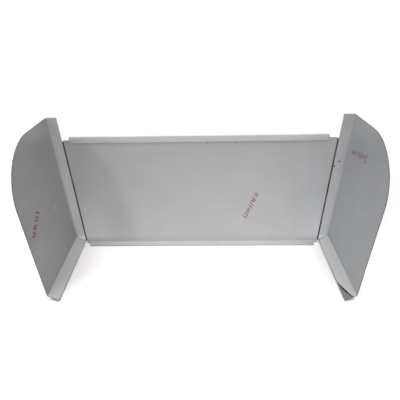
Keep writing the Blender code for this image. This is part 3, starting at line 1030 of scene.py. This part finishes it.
def hinge_finish():
    """Blackened steel, rubbed to grey along the barrel and scratched a little."""
    black = Finish("hinge_black", "object", 0.42, metallic=0.6)
    tone = black.ranged(black.noise(4 * MM, detail=4), 0, 1)
    colour = black.mixed(tone, (0.022, 0.023, 0.024), (0.038, 0.039, 0.041))
    sideways = black.away(black.along(0), 0)
    barrel = black.ranged(black.away(sideways, AXES["right"].x), 1, 0, 0.6 * MM, 1.4 * MM)
    worn = black.ranged(black.noise(3 * MM, detail=5, stretch=(1, 1, 5), shift=4), 0.25, 1, 0.35, 0.65)
    rubbed = black.product(barrel, worn)
    colour = black.mixed(black.ranged(rubbed, 0, 0.8, 0, 1), colour, (0.17, 0.17, 0.17))
    nicks = black.ranged(black.noise(1.2 * MM, detail=4, stretch=(1, 1, 2), shift=9), 0, 0.5, 0.70, 0.78)
    colour = black.mixed(nicks, colour, (0.14, 0.14, 0.14))
    black.bump(black.noise(0.4 * MM, detail=3, shift=8), 0.01 * MM)
    return black.done(colour, black.ranged(black.noise(7 * MM, shift=2), 0.34, 0.50))


def rivet_finish():
    """Satin aluminium with tool marks, its grey varying at random."""
    metal = Finish("rivet_metal", "object", 0.34, metallic=0.9)
    tone = metal.ranged(metal.noise(1.2 * MM, detail=5), 0, 1)
    colour = metal.mixed(tone, (0.46, 0.46, 0.47), (0.66, 0.66, 0.66))
    marks = metal.noise(0.3 * MM, detail=3, stretch=(1, 1, 2), shift=3)
    metal.bump(marks, 0.02 * MM)
    return metal.done(colour, metal.ranged(metal.noise(0.9 * MM, detail=4, shift=5), 0.26, 0.48))


def ink_finish():
    """Faded red marker ink, thin in places, so that the film's grey shows in it."""
    ink = Finish("faded_ink", "blank", 0.35)
    worn = ink.ranged(ink.noise(1.8 * MM, detail=4), 0, 1, 0.36, 0.62)
    colour = ink.mixed(worn, (0.13, 0.018, 0.035), (0.32, 0.13, 0.16))
    ink.bump(ink.noise(0.4 * MM, detail=2, shift=2), 0.008 * MM)
    return ink.done(colour, ink.ranged(ink.noise(2 * MM, shift=4), 0.28, 0.5))


def grime_and_shadow_finish(name, light, dark):
    """Dried dirt, or old glue that also paints the shadow of a lifted film edge: dark, matt and lumpy."""
    grime = Finish(name, "blank", 0.7)
    lumps = grime.noise(0.7 * MM, detail=4)
    colour = grime.mixed(grime.ranged(lumps, 0, 1), dark, light)
    grime.bump(lumps, 0.06 * MM)
    return grime.done(colour, grime.ranged(grime.noise(1.2 * MM, shift=3), 0.55, 0.85))


def floor_paint(name, albedo):
    paint = Finish(name, "object", 0.8)
    tone = paint.ranged(paint.noise(500 * MM, detail=2), 0, 1)
    return paint.done(paint.mixed(tone, (albedo - 0.005,) * 3, (albedo + 0.005,) * 3))


# Pieces -----------------------------------------------------------------------------------------


BARE_FACE = face_finish()
CUT_EDGE = edge_finish()
WING_MARKS = [(axis, distance) for axis in (0, 1) for distance in (-DIE_REACH, DIE_REACH)]
PANEL_REVERSE = reverse_finish("panel_reverse", [(1, DIE_REACH + LIP_BEND_START)], 0)
WING_REVERSES = {
    "left": reverse_finish("left_reverse", WING_MARKS, 3.3),
    "right": reverse_finish("right_reverse", WING_MARKS, 7.9),
}
# The numbers after each seed are painted light and shade: the foot and top factors, then the factors of the
# tone function.
PANEL_FILM = film_finish("panel_film", 0, 1.15, 0.89, panel_painted_light, corners=1.46, lip_ends=0.84)
WING_FILMS = {
    "left": film_finish("left_film", 2.6, 0.86, 1.08, wing_painted_light, back=(1.92, 0.90), bottom=1.44),
    "right": film_finish("right_film", 6.1, 0.94, 0.995, wing_painted_light, back=(1.44, 0.87), bottom=1.27),
}
HINGE_BLACK = hinge_finish()
RIVET_METAL = rivet_finish()
FADED_INK = ink_finish()
DIRT = grime_and_shadow_finish("dirt", (0.07, 0.07, 0.075), (0.015, 0.015, 0.017))
# Old glue, whose dark band is also painted shadow under the film's lifted edge.
GLUE_AND_SHADOW = grime_and_shadow_finish("old_glue_and_painted_shadow", (0.060, 0.062, 0.066), (0.018, 0.019, 0.021))


def make_centre():
    fixed = [(name, False) for name in SIDES]
    finishes = [BARE_FACE, PANEL_REVERSE, CUT_EDGE]
    folded_sheet("centre_panel", "centre", panel_blank(0, 0, True), fold_panel, finishes, fixed)
    film = panel_blank(FILM_INSET, FILM_HINGE_INSET, False)
    relief = centre_relief(blisters(*BLISTERS["centre"], BLISTER_AREAS["centre"]))
    folded_film("centre_film_skin", "centre", film, fold_panel, relief, PANEL_FILM, "centre_film")
    top = above_film(relief)
    strokes = pen_strokes(*STROKES["centre"])
    laid_on("centre_ink_strokes", "centre", strokes, fold_panel, top, INK_THICKNESS, FADED_INK)
    flecks = specks(SPECKS["centre"], CENTRE_SPECK_SEED)
    laid_on("centre_dirt_specks", "centre", flecks, fold_panel, top, SPECK_THICKNESS, DIRT)


def to_blank(place):
    """A place given as its depth from the back fold's corner and its height above the base."""
    depth, height = place
    return depth - BEND_RADIUS, height - PLATE_BOTTOM


def against_steel(u, v):
    return FILM_LIFT / 3


def make_wing(name):
    surface = wing_surface(name)
    body = f"{name}_side"
    finishes = [BARE_FACE, WING_REVERSES[name], CUT_EDGE]
    folded_sheet(f"{name}_wing", body, wing_blank(0, 0, SHEET), surface, finishes, [(name, True)])
    peeled = name == "right"
    film = wing_blank(FILM_INSET, FILM_HINGE_INSET, -FILM_INSET, peeled)
    relief = wing_relief(blisters(*BLISTERS[name], BLISTER_AREAS["wing"]), peeled)
    folded_film(f"{name}_film_skin", body, film, surface, relief, WING_FILMS[name], f"{name}_wing_film")
    top = above_film(relief)
    first, last, *manner = STROKES[name]
    strokes = pen_strokes(to_blank(first), to_blank(last), *manner)
    laid_on(f"{name}_ink_strokes", body, strokes, surface, top, INK_THICKNESS, FADED_INK)
    places = [(*to_blank(place[:2]), place[2]) for place in SPECKS[name]]
    flecks = specks(places, WING_SPECK_SEED)
    laid_on(f"{name}_dirt_specks", body, flecks, surface, top, SPECK_THICKNESS, DIRT)
    if peeled:
        # Dark band on the bare steel: partly old glue, partly painted shadow of the curled film.
        laid_on(f"{name}_glue_and_shadow_line", body, glue_and_shadow_band(), surface, against_steel, GLUE_SHADOW_THICKNESS, GLUE_AND_SHADOW)


def dress_hinges():
    for name, node in frame["nodes"].items():
        if "hinge" in name:
            node.data.materials.clear()
            node.data.materials.append(HINGE_BLACK)


# Floor, light and camera ------------------------------------------------------------------------


def floor_sheet(name, height, paint):
    bm = bmesh.new()
    place = Matrix.Translation((0, 0, height))
    bmesh.ops.create_grid(bm, x_segments=1, y_segments=1, size=FLOOR_HALF_SIZE, matrix=place)
    floor = mesh_object(name, bm, [paint])
    return floor


def make_floor():
    """A white floor, and a grey one in its place for what the film reflects."""
    white = floor_sheet("floor", 0, floor_paint("floor_paint", FLOOR_WHITE))
    white.visible_glossy = False
    grey_paint = floor_paint("grey_floor_paint", REFLECTED_GREY)
    grey = floor_sheet("floor_in_reflections", 0.02 * MM, grey_paint)
    grey.visible_camera = False
    grey.visible_diffuse = False
    grey.visible_shadow = False


def make_backdrop():
    """A far, evenly white wall all round that only the camera sees."""
    white = bpy.data.materials.new("backdrop_white")
    white.use_nodes = True
    shader = white.node_tree.nodes["Principled BSDF"]
    shader.inputs["Emission Color"].default_value = (1, 1, 1, 1)
    shader.inputs["Emission Strength"].default_value = 1
    bm = bmesh.new()
    radii = {"radius1": BACKDROP_RADIUS, "radius2": BACKDROP_RADIUS}
    bmesh.ops.create_cone(bm, segments=BACKDROP_SIDES, depth=BACKDROP_HEIGHT, **radii)
    backdrop = mesh_object("backdrop", bm, [white])
    backdrop.visible_shadow = False
    backdrop.visible_diffuse = False
    backdrop.visible_glossy = False


def sun(name, azimuth, height, spread, strength, colour):
    """A soft distant light, its azimuth measured from straight in front and positive to the right."""
    light = bpy.data.lights.new(name, "SUN")
    light.energy = strength
    light.angle = spread
    light.color = colour
    lamp = bpy.data.objects.new(name, light)
    around, up = math.radians(azimuth), math.radians(height)
    away = Vector((math.sin(around) * math.cos(up), -math.cos(around) * math.cos(up), math.sin(up)))
    lamp.rotation_euler = (-away).to_track_quat("-Z", "Y").to_euler()
    bpy.context.scene.collection.objects.link(lamp)


def make_light():
    """A white ceiling, a key from the front left that casts the left wing's soft shadow, and fills."""
    world = bpy.data.worlds.new("studio")
    bpy.context.scene.world = world
    world.use_nodes = True
    background = world.node_tree.nodes["Background"]
    background.inputs["Color"].default_value = (1, 1, 1, 1)
    background.inputs["Strength"].default_value = WORLD_STRENGTH
    sun("ceiling", 0, 75, BROAD_SUN, 2.75, (1.0, 0.98, 0.97))
    sun("key", -35, 27, NARROW_SUN, 0.68, (1.0, 0.93, 0.80))
    sun("left_fill", -50, 15, BROAD_SUN, 0.52, (0.66, 0.78, 1.0))
    sun("right_fill", 25, 15, BROAD_SUN, 0.32, (1.0, 0.80, 0.78))
    sun("back_fill", 180, 35, BROAD_SUN, 0.4, (1.0, 1.0, 1.0))


def make_camera():
    """A wide-angle view from the open side, a little right of centre, 30 degrees down."""
    data = bpy.data.cameras.new("camera")
    data.sensor_width = SENSOR_WIDTH
    data.lens = LENS
    camera = bpy.data.objects.new("camera", data)
    bpy.context.scene.collection.objects.link(camera)
    place = Matrix.Translation(CAMERA_FROM_PANEL + Vector((0, FRONT_Y, 0)))
    turn = Matrix.Rotation(CAMERA_YAW, 4, "Z") @ Matrix.Rotation(math.pi / 2 - CAMERA_PITCH, 4, "X")
    camera.matrix_world = place @ turn @ Matrix.Rotation(CAMERA_ROLL, 4, "Z")
    bpy.context.scene.camera = camera


make_centre()
for wing_name in SIDES:
    make_wing(wing_name)
make_rivets()
dress_hinges()
make_floor()
make_backdrop()
make_light()
make_camera()
bpy.context.scene.view_settings.view_transform = "Standard"
